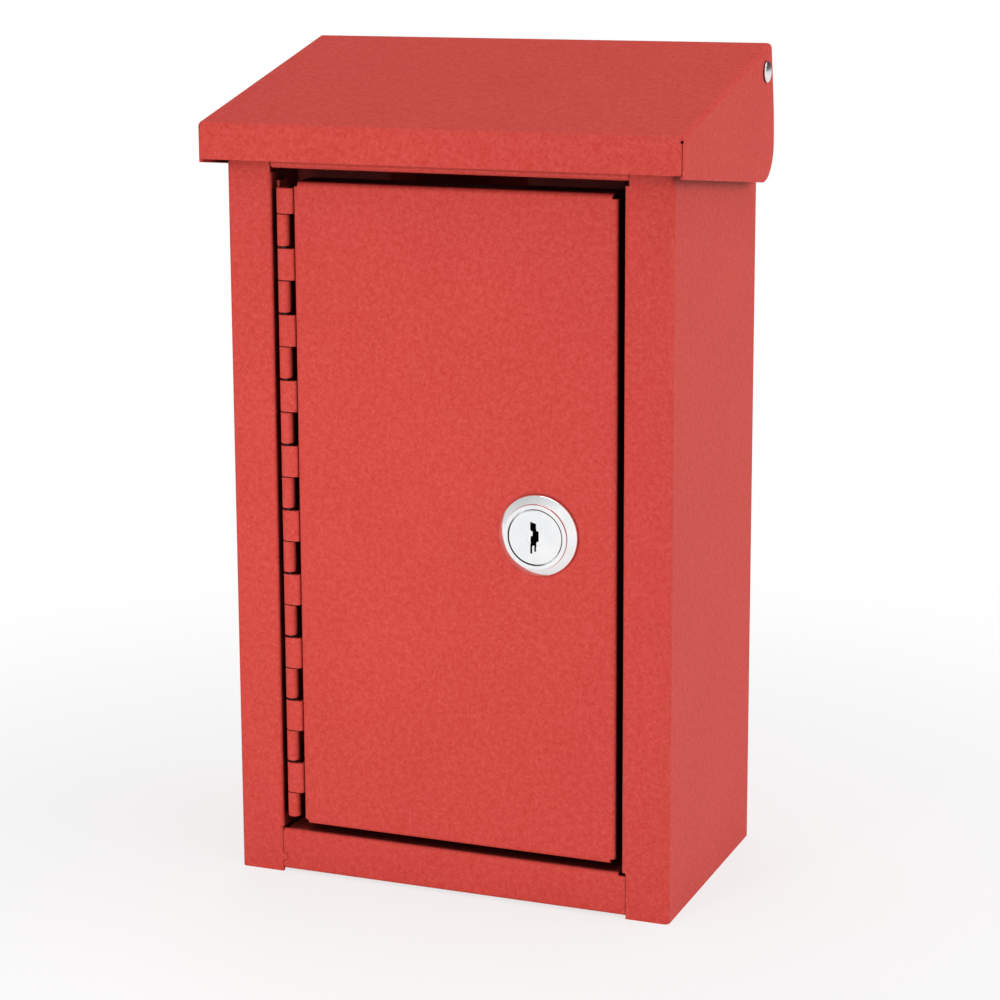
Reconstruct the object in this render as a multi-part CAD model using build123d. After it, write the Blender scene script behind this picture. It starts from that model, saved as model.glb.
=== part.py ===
from build123d import *
import os
from math import atan2, cos, degrees, radians, sin, tan

# A small wall-mounted key drop box of folded, powder-coated sheet steel: a cabinet with a hinged, lockable front
# door, and a sloping hood that lifts on two rivets to uncover the drop slot.
# Millimetres. X runs along the front, left to right, Y from front to back and Z up. The pieces are drawn with
# Y = 0 on the cabinet's front face, and write() moves them so that the origin is under the middle of the whole.

# Sheet
SHEET = 1.2                        # steel sheet of the cabinet, the door and the hood
FOLD = 1.0                         # centre-line radius of a fold
OUTER_FOLD = FOLD + SHEET / 2
INNER_FOLD = FOLD - SHEET / 2

# Cabinet
WIDTH = 147.0
DEPTH = 89.0
FRONT_HEIGHT = 243.0               # top of the deck and of the stiles
BACK_HEIGHT = 250.0                # top of the back, kept low for the hood's rear edge
FLOOR_RISE = 0.8                   # the floor sits this far above the lower edges of the walls
OPENING_LEFT = -58.4
OPENING_RIGHT = 57.9
SILL_TOP = 14.8
HEAD_BOTTOM = 231.8
LEFT_JAMB_DEPTH = 12.0
RIGHT_JAMB_DEPTH = 15.4            # the lock's cam closes behind this one
SEAM = 0.15                        # open line left between two pieces that are welded edge to edge
INNER_X = WIDTH / 2 - SHEET
INNER_BACK = DEPTH - SHEET

# Head rail and deck
STOP_Y = 12.0                      # front of the flange that the closed door stands against
STOP_BOTTOM = 222.5
STOP_HALF = 54.2
WINDOW_HALF = 23.2
SLOT_HALF = 54.0
SLOT_FRONT = 24.0
SLOT_REAR = 46.0
SLOT_LIP = 5.0
FLANGE = 10.0                      # the weld flanges of the floor and the deck
CORNER_RELIEF = 4.0                # these flanges end this far short of a corner
SHEET_FRONT = 2.0                  # front edge of the floor and the deck beside the rails
SILL_INSET = 1.4                   # the sill is this much shorter than the rail at its left end

# Hood
HOOD_WIDTH = 158.0
HOOD_FRONT = -9.2
HOOD_FRONT_TOP = 246.5
HOOD_LIP_BOTTOM = 235.0
RIDGE_Y = 84.0
RIDGE_Z = 267.0
CHEEK_FRONT_BOTTOM = 234.0
CHEEK_REAR_Y = 88.4
CHEEK_CORNER = 11.5
LIP_CORNER = 0.9                   # radius of the lip's lower corners
CORNER_SEAM = 0.2                  # open mitre between the lip and a cheek
RELIEF_R = 0.5                     # small hole at the top of that seam
SLOPE = atan2(RIDGE_Z - HOOD_FRONT_TOP, RIDGE_Y - HOOD_FRONT)

# Hood pivots
PIVOT_Y = 78.0
PIVOT_Z = 258.4
RIVET_R = 2.0
RIVET_HEAD_R = 3.4
RIVET_RISE = 1.0
SET_END_R = 3.0
WASHER = 1.2
EAR_R = 5.4

# Door
DOOR_LEFT = -50.8
DOOR_RIGHT = 55.9
DOOR_BOTTOM = 17.4
DOOR_TOP = 227.9
DOOR_DEPTH = 11.5
CORNER_NOTCH = 1.6

# Door hinge
KNUCKLES = 20
KNUCKLE_PITCH = 10.56
HINGE_BOTTOM = 18.8
END_KNUCKLE = 8.6
BARREL_X = -55.0
BARREL_Y = 2.2
BARREL_R = 2.15
PIN_R = 1.15
LEAF = 1.0
LEAF_BACK = 11.2
DOOR_LEAF_FRONT = 4.2              # between its knuckles the door's leaf is cut back to here
KNUCKLE_BEND = 0.7                 # centre-line radius of the bend between that leaf and a knuckle
RESTING_GAP = 0.3                  # between the top of a frame knuckle and the door knuckle above it
WIDE_GAP = 0.8                     # between the top of a door knuckle and the frame knuckle above it
RUNNING = 0.05                     # radial clearance of a turning fit

# Lock
LOCK_X = 30.8
LOCK_Z = 121.3
BEZEL_R = 13.0
BEZEL_RIM_R = 10.3                 # the raised flat rim round the plug
BARREL_FACE = -3.6                 # front of the bezel and of the plug, proud of the door
HOUSING_R = 9.4
HOUSING_FLATS = 16.0
HOUSING_REAR = 14.2
BARREL_SECTION = (HOUSING_R, HOUSING_FLATS)
PLUG_FACE_R = 8.65
PLUG_FACE_DEPTH = 2.5
PLUG_RING_GAP = 0.3                # dark ring between the plug's face and the bezel
PLUG_R = 6.2
LOCK_WASHER = 0.8
NUT = 3.6
NUT_FLATS = 24.0
PLUG_POST = 6.6
KEY_GUIDE_R = 2.8                  # shallow round guide about the key slot
KEYWAY_END = 13.0
CAM_FRONT = 16.1
CAM = 2.0
CAM_REACH = 34.0
CAM_WIDTH = 13.0

# Wall holes in the back
WALL_HOLE_R = 3.25
WALL_HOLES_X = 100.0
WALL_HOLES_Z = 160.0
WALL_HOLES_MIDDLE = 130.0


# ---------------------------------------------------------------- shared shapes

def block(x0, x1, y0, y1, z0, z1):
    return Pos(x0, y0, z0) * Box(x1 - x0, y1 - y0, z1 - z0, align=(Align.MIN,) * 3)


def folded(section, plane, length):
    """Sheet folded to the centre line given by its section's corners, as long as its folds."""
    line = FilletPolyline(*section, radius=FOLD)
    return extrude(plane * trace(line, SHEET), length)


def across(x0):
    """Plane for a section drawn in Y and Z and pulled towards +X from x0."""
    return Plane((x0, 0, 0), x_dir=(0, 1, 0), z_dir=(1, 0, 0))


def upright(z0):
    """Plane for a section drawn in X and Y and pulled upwards from z0."""
    return Plane((0, 0, z0), x_dir=(1, 0, 0), z_dir=(0, 0, 1))


def backward(y0):
    """Plane for a section drawn in X and Z and pulled towards +Y from y0."""
    return Plane((0, y0, 0), x_dir=(-1, 0, 0), z_dir=(0, 1, 0))


def rod_x(radius, x0, x1, y, z):
    return extrude(across(x0) * Pos(y, z) * Circle(radius), x1 - x0)


def rod_y(radius, y0, y1, x, z):
    return extrude(backward(y0) * Pos(-x, z) * Circle(radius), y1 - y0)


def rod_z(radius, z0, z1, x, y):
    return extrude(upright(z0) * Pos(x, y) * Circle(radius), z1 - z0)


def mirrored(solid):
    return mirror(solid, about=Plane.YZ)


# ---------------------------------------------------------------- cabinet

def wall_outline():
    """Side view of the cabinet's walls: level over the stiles, then a cheek that rises beside the hood to a round
    ear about the pivot, and low again at the back."""
    tangent_y = PIVOT_Y - EAR_R * sin(SLOPE)
    tangent_z = PIVOT_Z + EAR_R * cos(SLOPE)
    cheek_y = SHEET + 0.3
    cheek_z = tangent_z - (tangent_y - cheek_y) * tan(SLOPE)
    ear_back = PIVOT_Y + EAR_R
    top = Polyline((-1, -1), (-1, FRONT_HEIGHT), (cheek_y, FRONT_HEIGHT), (cheek_y, cheek_z), (tangent_y, tangent_z))
    middle = radians(90 + degrees(SLOPE)) / 2
    ear = ThreePointArc(
        (tangent_y, tangent_z),
        (PIVOT_Y + EAR_R * cos(middle), PIVOT_Z + EAR_R * sin(middle)),
        (ear_back, PIVOT_Z),
    )
    rear = Polyline((ear_back, PIVOT_Z), (ear_back, BACK_HEIGHT), (DEPTH + 1, BACK_HEIGHT), (DEPTH + 1, -1), (-1, -1))
    return make_face([*top.edges(), *ear.edges(), *rear.edges()])


def wall_section(left_end, right_end):
    """Centre line of the wrap: from one stile round the sides and back to the other stile."""
    half = SHEET / 2
    side = WIDTH / 2 - half
    corners = [(-side, half), (-side, DEPTH - half), (side, DEPTH - half), (side, half)]
    return [*left_end, *corners, *right_end]


def body_wrap():
    """One sheet folded round: left jamb, left stile, left side, back, right side, right stile and right jamb."""
    half = SHEET / 2
    left_jamb = OPENING_LEFT - half
    right_jamb = OPENING_RIGHT + half
    jambs = wall_section(
        [(left_jamb, LEFT_JAMB_DEPTH), (left_jamb, half)],
        [(right_jamb, half), (right_jamb, RIGHT_JAMB_DEPTH)],
    )
    flat = wall_section([(OPENING_LEFT - SEAM, half)], [(OPENING_RIGHT + OUTER_FOLD, half)])
    jamb_bottom = SILL_TOP + 0.2
    jamb_top = HEAD_BOTTOM - 1.4
    wrap = folded(flat, upright(0), jamb_bottom)
    wrap += folded(jambs, upright(jamb_bottom), jamb_top - jamb_bottom)
    wrap += folded(flat, upright(jamb_top), RIDGE_Z - jamb_top)
    wrap &= extrude(across(-WIDTH) * wall_outline(), 2 * WIDTH)
    wrap += extrude(Plane.XZ * rail_tongue(), -SHEET)
    wrap -= rod_x(RIVET_R, -WIDTH, WIDTH, PIVOT_Y, PIVOT_Z)
    for side in (-0.5, 0.5):
        for end in (-0.5, 0.5):
            hole_x = side * WALL_HOLES_X
            hole_z = WALL_HOLES_MIDDLE + end * WALL_HOLES_Z
            wrap -= rod_y(WALL_HOLE_R, DEPTH - 5, DEPTH + 5, hole_x, hole_z)
    return wrap


def rail_tongue():
    """Outline of the little tongue at the foot of the left stile, which locates the bottom rail for welding."""
    top = SILL_TOP - 7.8
    bottom = top - 4.4
    root = OPENING_LEFT - 2
    tip = OPENING_LEFT + 1.4
    heel = OPENING_LEFT - 1.4
    outline = [(root, top), (tip, top - 0.8), (tip, top - 2.6), (heel, bottom), (root, bottom)]
    return make_face(Polyline(*outline, close=True))


def flanged_sheet(middle_z, flange_end_z):
    """Level sheet between the walls, with a weld flange folded along each side and along the back."""
    low = middle_z - SHEET / 2
    high = middle_z + SHEET / 2
    side = INNER_X - SHEET / 2
    rear = INNER_BACK - SHEET / 2
    flat_half = INNER_X - OUTER_FOLD
    flange_half = INNER_X - CORNER_RELIEF
    sheet = block(-INNER_X, INNER_X, SHEET_FRONT, CORNER_RELIEF, low, high)
    sheet += block(-flat_half, flat_half, CORNER_RELIEF, INNER_BACK - OUTER_FOLD, low, high)
    sides = [(-side, flange_end_z), (-side, middle_z), (side, middle_z), (side, flange_end_z)]
    back = [(rear - FLANGE, middle_z), (rear, middle_z), (rear, flange_end_z)]
    sheet += folded(sides, backward(CORNER_RELIEF), INNER_BACK - 2 * CORNER_RELIEF)
    sheet += folded(back, across(-flange_half), 2 * flange_half)
    return sheet


def bottom_pan():
    """Floor with its weld flanges turned up, and the bottom rail and sill folded at its front."""
    half = SHEET / 2
    floor_z = FLOOR_RISE + half
    left = OPENING_LEFT
    right = OPENING_RIGHT + OUTER_FOLD - SEAM
    behind = SHEET + 0.01
    rail = [(DOOR_DEPTH, SILL_TOP - half), (half, SILL_TOP - half), (half, floor_z), (2 * FLANGE, floor_z)]
    pan = folded(rail, across(left), right - left)
    pan -= block(left - 1, left + SILL_INSET, behind, 2 * FLANGE, SILL_TOP - 3, SILL_TOP + 1)
    pan -= block(OPENING_RIGHT - 1, right + 1, behind, 2 * FLANGE, SILL_TOP - 3, SILL_TOP + 1)
    pan -= block(OPENING_RIGHT - 1, right + 1, -1, 2 * FLANGE, SILL_TOP - 0.9, SILL_TOP + 1)
    pan += flanged_sheet(floor_z, floor_z + FLANGE)
    pan -= extrude(Plane.XZ * offset(rail_tongue(), SEAM, kind=Kind.INTERSECTION), -SHEET)
    return pan


def top_plate():
    """Deck with the drop slot, its weld flanges turned down, and the head rail folded at its front: the rail's
    return runs back to the notched flange that the door stands against."""
    half = SHEET / 2
    deck_z = FRONT_HEIGHT - half
    left = OPENING_LEFT + SEAM
    right = OPENING_RIGHT + OUTER_FOLD - SEAM
    stop = STOP_Y + half
    rail = [
        (stop, STOP_BOTTOM),
        (stop, HEAD_BOTTOM + half),
        (half, HEAD_BOTTOM + half),
        (half, deck_z),
        (2 * FLANGE, deck_z),
    ]
    deck = folded(rail, across(left), right - left)
    behind_stop = STOP_Y + 5
    for start, end in ((left - 1, -STOP_HALF), (-WINDOW_HALF, WINDOW_HALF), (STOP_HALF, right + 1)):
        deck -= block(start, end, STOP_Y - INNER_FOLD, behind_stop, STOP_BOTTOM - 1, HEAD_BOTTOM)
    deck -= block(OPENING_RIGHT - 0.2, right + 1, SHEET + 0.01, behind_stop, STOP_BOTTOM - 1, HEAD_BOTTOM + 3)
    deck += flanged_sheet(deck_z, deck_z - FLANGE)
    deck -= block(-SLOT_HALF, SLOT_HALF, SLOT_FRONT, SLOT_REAR, deck_z - SLOT_LIP, FRONT_HEIGHT + 1)
    front = SLOT_FRONT + half
    rear = SLOT_REAR - half
    lip_half = SLOT_HALF - 2
    for edge, root in ((front, front - FLANGE), (rear, rear + FLANGE)):
        lip = [(root, deck_z), (edge, deck_z), (edge, deck_z - SLOT_LIP)]
        deck += folded(lip, across(-lip_half), 2 * lip_half)
    return deck


# ---------------------------------------------------------------- hood

def hood_outline(inset, open_end):
    """Side view of the hood's top and lip, drawn inset from the outer faces and run past its open ends."""
    front = HOOD_FRONT + inset
    drop = inset / cos(SLOPE)
    front_top = HOOD_FRONT_TOP + inset * tan(SLOPE) - drop
    ridge_y = RIDGE_Y + open_end
    ridge_z = RIDGE_Z + open_end * tan(SLOPE) - drop
    low = CHEEK_FRONT_BOTTOM - 30
    return Polyline((front, low), (front, front_top), (ridge_y, ridge_z), (ridge_y, low), (front, low))


def cheek_outline():
    """Side view of a cheek: it follows the hood's slope, leans back a little towards the wall and rounds off
    into a lower edge that drops towards the rear."""
    below = 223.3
    corner_y = CHEEK_REAR_Y - CHEEK_CORNER
    rise = CHEEK_FRONT_BOTTOM - below
    fall = atan2(rise, corner_y - HOOD_FRONT)
    centre_z = below + CHEEK_CORNER * cos(fall) + CHEEK_CORNER * sin(fall) * tan(fall)
    start = (corner_y - CHEEK_CORNER * sin(fall), centre_z - CHEEK_CORNER * cos(fall))
    end = (CHEEK_REAR_Y, centre_z)
    middle = (corner_y + CHEEK_CORNER * cos(radians(50)), centre_z - CHEEK_CORNER * sin(radians(50)))
    lower = Polyline((HOOD_FRONT, HOOD_FRONT_TOP), (HOOD_FRONT, CHEEK_FRONT_BOTTOM), start)
    corner = ThreePointArc(start, middle, end)
    heel = Spline((CHEEK_REAR_Y, centre_z), (RIDGE_Y, RIDGE_Z), tangents=((0, 1), (-0.16, 1)))
    top = Polyline((RIDGE_Y, RIDGE_Z), (HOOD_FRONT, HOOD_FRONT_TOP))
    return make_face([*lower.edges(), *corner.edges(), *heel.edges(), *top.edges()])


def hood_shell(inset, open_end, fold):
    """Solid hood shape with its folds rounded."""
    half = HOOD_WIDTH / 2 - inset
    shape = extrude(across(-half) * make_face(hood_outline(inset, open_end)), 2 * half)
    top_edges = [e for e in shape.edges() if abs(abs(e.center().X) - half) < 0.01 and e.center().Z > HOOD_FRONT_TOP]
    sloping = [e for e in top_edges if e.length > 80 and abs(e.tangent_at(0.5).Y) > 0.9]
    shape = fillet(sloping, fold)
    return fillet(hood_front_edge(shape, inset), fold)


def hood_front_edge(shape, inset):
    """The fold between the hood's top and its front lip."""
    front = HOOD_FRONT + inset
    return [
        e for e in shape.edges()
        if abs(e.center().Y - front) < 0.05 and abs(e.center().X) < 1 and e.center().Z > HOOD_FRONT_TOP - 3
    ]


def lid_hood():
    """The lifting hood: a sloping top with a lip at the front and a cheek at each side, folded from one sheet,
    with an open mitred seam and a small relief hole at each front corner."""
    hood = hood_shell(0, 20, OUTER_FOLD) - hood_shell(SHEET, 20, INNER_FOLD)
    hood &= extrude(across(-HOOD_WIDTH) * cheek_outline(), 2 * HOOD_WIDTH)
    inner_half = HOOD_WIDTH / 2 - SHEET
    hood -= block(-inner_half, inner_half, HOOD_FRONT - 1, HOOD_FRONT + 6, CHEEK_FRONT_BOTTOM - 9, HOOD_LIP_BOTTOM)
    seam_top = HOOD_FRONT_TOP - OUTER_FOLD
    seam_height = seam_top - CHEEK_FRONT_BOTTOM + 1
    lip_end = Pos(0, -CORNER_SEAM / 2 - LIP_CORNER, HOOD_LIP_BOTTOM + LIP_CORNER - seam_top)
    square = Pos(0, LIP_CORNER / 2, -1.5 * LIP_CORNER) * Box(6, LIP_CORNER, 3 * LIP_CORNER)
    rounding = lip_end * (square - Rot(0, 90, 0) * Cylinder(LIP_CORNER, 6))
    for side in (-1, 1):
        corner = Pos(side * HOOD_WIDTH / 2, HOOD_FRONT, seam_top) * Rot(0, 0, -45 * side)
        hood -= corner * Pos(0, 0, -seam_height / 2) * Box(6, CORNER_SEAM, seam_height)
        hood -= corner * Rot(0, 90, 0) * Cylinder(RELIEF_R, 6)
        hood -= corner * rounding
    hood -= rod_x(RIVET_R + RUNNING, -HOOD_WIDTH, HOOD_WIDTH, PIVOT_Y, PIVOT_Z)
    return hood


# ---------------------------------------------------------------- hood pivots

def lid_rivet():
    """Right-hand pivot rivet: domed head outside the hood, shank, and the end set inside the cabinet."""
    outside = HOOD_WIDTH / 2 + 0.3
    inside = INNER_X - WASHER
    set_end = inside - 1.6
    shank = [(set_end, 0), (set_end, SET_END_R), (inside, SET_END_R), (inside, RIVET_R), (outside, RIVET_R)]
    crown = outside + RIVET_RISE
    head = [(outside, RIVET_HEAD_R), (outside + 0.3, RIVET_HEAD_R), (outside + 0.75, 2.6), (crown, 1.3), (crown, 0)]
    face = make_face(Polyline(*shank, *head, close=True))
    return Pos(0, PIVOT_Y, PIVOT_Z) * revolve(face, axis=Axis.X)


def pivot_ring(radius, x0, x1):
    return rod_x(radius, x0, x1, PIVOT_Y, PIVOT_Z) - rod_x(RIVET_R, x0 - 1, x1 + 1, PIVOT_Y, PIVOT_Z)


def lid_spacer():
    """Sleeve that keeps the hood's cheek off the cabinet's side."""
    return pivot_ring(4.0, WIDTH / 2, HOOD_WIDTH / 2 - SHEET - 0.3)


def rivet_washer():
    """Washer under the set end of the rivet, inside the cabinet."""
    return pivot_ring(4.5, INNER_X - WASHER, INNER_X)


# ---------------------------------------------------------------- door

def door_panel():
    """Shallow pan: a face with four flanges turned back, its corners notched so that the flanges can fold."""
    pan = block(DOOR_LEFT, DOOR_RIGHT, 0, DOOR_DEPTH, DOOR_BOTTOM, DOOR_TOP)
    pan = fillet(pan.faces().sort_by(Axis.Y)[0].edges(), OUTER_FOLD)
    low = DOOR_BOTTOM + SHEET
    hollow = block(DOOR_LEFT + SHEET, DOOR_RIGHT - SHEET, SHEET, DOOR_DEPTH + 5, low, DOOR_TOP - SHEET)
    pan -= fillet(hollow.faces().sort_by(Axis.Y)[0].edges(), INNER_FOLD)
    for x in (DOOR_LEFT, DOOR_RIGHT):
        for z in (DOOR_BOTTOM, DOOR_TOP):
            size = CORNER_NOTCH
            pan -= block(x - size, x + size, -1, DOOR_DEPTH + 1, z - size, z + size)
    return pan - double_d(HOUSING_R + 0.1, HOUSING_FLATS + 0.2, -1, SHEET + 1)


def double_d(radius, flats, y0, y1):
    """Round bar with two flats, on the lock's axis."""
    bar = rod_y(radius, y0, y1, LOCK_X, LOCK_Z)
    return bar & block(LOCK_X - flats / 2, LOCK_X + flats / 2, y0, y1, LOCK_Z - 20, LOCK_Z + 20)


# ---------------------------------------------------------------- hinge

def knuckle_span(index):
    """Lower and upper end of a knuckle, counted from the bottom."""
    low = HINGE_BOTTOM
    if index > 0:
        low += END_KNUCKLE + (index - 1) * KNUCKLE_PITCH
    high = HINGE_BOTTOM + END_KNUCKLE + index * KNUCKLE_PITCH
    if index == KNUCKLES - 1:
        high = low + END_KNUCKLE
    below, above = (WIDE_GAP, RESTING_GAP) if index % 2 == 0 else (RESTING_GAP, WIDE_GAP)
    return low + below / 2, high - above / 2


def knuckles(first, bore, web):
    """Every second knuckle, each a rolled eye with the web that joins it to its leaf."""
    eye = Pos(BARREL_X, BARREL_Y) * Circle(BARREL_R)
    hole = Pos(BARREL_X, BARREL_Y) * Circle(bore)
    section = eye + web - hole
    rolled = []
    for index in range(first, KNUCKLES, 2):
        low, high = knuckle_span(index)
        rolled.append(extrude(upright(low) * section, high - low))
    return rolled


def frame_hinge_leaf():
    """Leaf welded inside the left jamb, with the even knuckles rolled at its front edge."""
    low = HINGE_BOTTOM - 0.6
    high = HINGE_BOTTOM + 2 * END_KNUCKLE + (KNUCKLES - 2) * KNUCKLE_PITCH + 1.5
    front = BARREL_Y - LEAF / 2
    web = Pos(OPENING_LEFT, front) * Rectangle(BARREL_X - OPENING_LEFT, LEAF, align=(Align.MIN, Align.MIN))
    leaf = block(OPENING_LEFT, OPENING_LEFT + LEAF, front, LEAF_BACK, low, high)
    foot = leaf.edges().filter_by(Axis.X).sort_by(lambda e: e.center().Z + e.center().Y)[0]
    leaf = chamfer(foot, 1.2)
    for knuckle in knuckles(0, PIN_R, web):
        leaf += knuckle
    return leaf


def door_hinge_leaf():
    """Leaf welded outside the door's left flange, with the odd knuckles bent over from it and rolled."""
    low = DOOR_BOTTOM + 2.6
    high = DOOR_TOP - 2.2
    leaf_x = DOOR_LEFT - LEAF / 2
    bend = [
        (BARREL_X, BARREL_Y - BARREL_R + LEAF / 2),
        (leaf_x, BARREL_Y - 0.2),
        (leaf_x, DOOR_LEAF_FRONT + 1),
    ]
    web = trace(FilletPolyline(*bend, radius=KNUCKLE_BEND), LEAF)
    leaf = block(DOOR_LEFT - LEAF, DOOR_LEFT, DOOR_LEAF_FRONT, LEAF_BACK, low, high)
    for knuckle in knuckles(1, PIN_R + RUNNING, web):
        leaf += knuckle
    return leaf


def hinge_pin():
    low, _ = knuckle_span(0)
    _, high = knuckle_span(KNUCKLES - 1)
    return rod_z(PIN_R, low + 0.6, high - 0.6, BARREL_X, BARREL_Y)


# ---------------------------------------------------------------- lock

def on_lock_axis(profile):
    """Solid turned about the lock's axis, from edges drawn as (radius, y)."""
    face = make_face(profile)
    turned = revolve(Plane.XY * face, axis=Axis.Y)
    return Pos(LOCK_X, 0, LOCK_Z) * turned


def lock_housing():
    """Die-cast housing: a dished bezel outside the door and a flatted barrel through it."""
    recess = PLUG_FACE_R + PLUG_RING_GAP
    recess_floor = BARREL_FACE + PLUG_FACE_DEPTH + 0.3
    bore = PLUG_R + RUNNING
    flange = [(BEZEL_R, 0), (BEZEL_R, -0.8), (12.7, -1.3), (10.7, -2.5)]
    rim = [(BEZEL_RIM_R, BARREL_FACE), (recess, BARREL_FACE), (recess, recess_floor)]
    barrel = [(bore, recess_floor), (bore, HOUSING_REAR), (HOUSING_R, HOUSING_REAR), (HOUSING_R, 0)]
    housing = on_lock_axis(Polyline(*flange, *rim, *barrel, close=True).edges())
    bezel_part = double_d(BEZEL_R + 1, 2 * BEZEL_R, BARREL_FACE - 1, 0)
    return housing & (bezel_part + double_d(*BARREL_SECTION, 0, HOUSING_REAR))


def lock_washer():
    """Spring washer between the door and the nut."""
    ring = rod_y(NUT_FLATS / 2, SHEET, SHEET + LOCK_WASHER, LOCK_X, LOCK_Z)
    return ring - rod_y(HOUSING_R, 0, HOUSING_REAR, LOCK_X, LOCK_Z)


def lock_nut():
    """Thin hexagon nut that clamps the housing to the door."""
    hexagon = RegularPolygon(NUT_FLATS / 2, 6, major_radius=False, rotation=30)
    nut = extrude(backward(SHEET + LOCK_WASHER) * Pos(-LOCK_X, LOCK_Z) * hexagon, NUT)
    return nut - rod_y(HOUSING_R, 0, HOUSING_REAR, LOCK_X, LOCK_Z)


def keyway():
    """The zig-zag key slot, seen from the front with X to the right: wards on both sides and two legs below."""
    upper_right = [(0.45, 4.4), (0.45, 2.2), (1.2, 1.9), (1.2, -1.1), (0.45, -1.5)]
    legs = [(0.45, -4.4), (-0.15, -4.4), (-0.15, -2.6), (-0.8, -2.6), (-0.8, -5.1), (-1.45, -5.1)]
    upper_left = [(-1.45, 0.2), (-0.8, 0.5), (-0.8, 1.8), (-1.45, 2.1), (-1.45, 5.0)]
    slot = make_face(Polyline(*upper_right, *legs, *upper_left, close=True))
    return Plane((LOCK_X, 0, LOCK_Z), x_dir=(1, 0, 0), z_dir=(0, -1, 0)) * slot


def wafer_positions():
    return [1.0 + 2.2 * index for index in range(5)]


def lock_plug():
    """Turning plug: flat face in the bezel's recess, barrel with a keyway and wafer slots, and a square post."""
    head_back = BARREL_FACE + PLUG_FACE_DEPTH
    rear = CAM_FRONT - 1.2
    plug = rod_y(PLUG_FACE_R, BARREL_FACE, head_back, LOCK_X, LOCK_Z)
    plug = chamfer(plug.edges().filter_by(GeomType.CIRCLE).sort_by(Axis.Y)[0], 0.25)
    plug += rod_y(PLUG_R, head_back, rear, LOCK_X, LOCK_Z)
    post = PLUG_POST / 2
    plug += block(LOCK_X - post, LOCK_X + post, rear, CAM_FRONT + CAM, LOCK_Z - post, LOCK_Z + post)
    plug -= rod_y(KEY_GUIDE_R, BARREL_FACE - 1, BARREL_FACE + 0.3, LOCK_X, LOCK_Z)
    plug -= extrude(keyway(), -KEYWAY_END) + extrude(keyway(), -BARREL_FACE + 1)
    for y in wafer_positions():
        plug -= block(LOCK_X - 3.1, LOCK_X + 3.1, y, y + 1.2, LOCK_Z - 9, LOCK_Z + 9)
    plug -= rod_y(1.7, rear - 4, CAM_FRONT + CAM + 1, LOCK_X, LOCK_Z)
    return plug


def lock_wafers():
    """Five flat wafers lying across the plug, each with a window for the key."""
    wafers = []
    for index, y in enumerate(wafer_positions()):
        wafer = block(LOCK_X - 3.0, LOCK_X + 3.0, y + 0.1, y + 1.1, LOCK_Z - 9, LOCK_Z + 9)
        wafer &= rod_y(PLUG_R - 0.1, y, y + 2, LOCK_X, LOCK_Z)
        offset = (-0.6, 0.4, 0.0, 0.6, -0.3)[index]
        wafer -= block(LOCK_X - 1.9, LOCK_X + 1.9, y, y + 2, LOCK_Z - 3.8 + offset, LOCK_Z + 3.8 + offset)
        wafers.append(wafer)
    return wafers


def cam_stop_washer():
    """Washer on the square post that limits the plug to a quarter turn."""
    front = CAM_FRONT - 1.2
    washer = rod_y(8.2, front, CAM_FRONT, LOCK_X, LOCK_Z)
    washer += block(LOCK_X - 1.6, LOCK_X + 1.6, front, CAM_FRONT, LOCK_Z - 9.2, LOCK_Z)
    return washer - square_hole(front - 1, CAM_FRONT + 1)


def square_hole(y0, y1):
    half = PLUG_POST / 2
    return block(LOCK_X - half, LOCK_X + half, y0, y1, LOCK_Z - half, LOCK_Z + half)


def lock_cam():
    """Flat cam with rounded ends, hanging down while the door is unlocked."""
    rounded = CAM_WIDTH / 2
    bar = SlotCenterToCenter(CAM_REACH - rounded, CAM_WIDTH, rotation=90)
    middle = LOCK_Z - (CAM_REACH - rounded) / 2
    cam = extrude(backward(CAM_FRONT) * Pos(-LOCK_X, middle) * bar, CAM)
    return cam - square_hole(CAM_FRONT - 1, CAM_FRONT + CAM + 1)


def cam_spring_washer():
    front = CAM_FRONT + CAM
    return rod_y(5.6, front, front + 0.9, LOCK_X, LOCK_Z) - rod_y(1.7, front - 1, front + 2, LOCK_X, LOCK_Z)


def cam_screw():
    """Pan-head screw with a cross recess that holds the cam on the plug."""
    front = CAM_FRONT + CAM + 0.9
    head = rod_y(3.9, front, front + 2.6, LOCK_X, LOCK_Z)
    head = chamfer(head.edges().filter_by(GeomType.CIRCLE).sort_by(Axis.Y)[-1], 0.9)
    screw = head + rod_y(1.7, front - 6.5, front, LOCK_X, LOCK_Z)
    for size_x, size_z in ((0.45, 2.2), (2.2, 0.45)):
        screw -= block(LOCK_X - size_x, LOCK_X + size_x, front + 1.2, front + 4, LOCK_Z - size_z, LOCK_Z + size_z)
    return screw


# ---------------------------------------------------------------- writing

def write(node, solids):
    """Puts the origin under the middle of the box and writes one node."""
    shift = Pos(0, -(HOOD_FRONT + DEPTH) / 2, 0)
    group = solids if isinstance(solids, list) else [solids]
    export_step(Compound([shift * s for shape in group for s in shape.solids()]), f"parts/{node}.step")


def build():
    os.makedirs("parts", exist_ok=True)
    write("body_wrap", body_wrap())
    write("bottom_pan", bottom_pan())
    write("top_plate", top_plate())
    write("frame_hinge_leaf", frame_hinge_leaf())
    write("hinge_pin", hinge_pin())
    write("lid_hood", lid_hood())
    pivots = {"lid_rivet": lid_rivet(), "lid_spacer": lid_spacer(), "rivet_washer": rivet_washer()}
    for name, shape in pivots.items():
        write(f"{name}_right", shape)
        write(f"{name}_left", mirrored(shape))
    write("door_panel", door_panel())
    write("door_hinge_leaf", door_hinge_leaf())
    write("lock_housing", lock_housing())
    write("lock_washer", lock_washer())
    write("lock_nut", lock_nut())
    write("lock_plug", lock_plug())
    write("lock_wafers", lock_wafers())
    write("cam_stop_washer", cam_stop_washer())
    write("lock_cam", lock_cam())
    write("cam_spring_washer", cam_spring_washer())
    write("cam_screw", cam_screw())


build()
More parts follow.
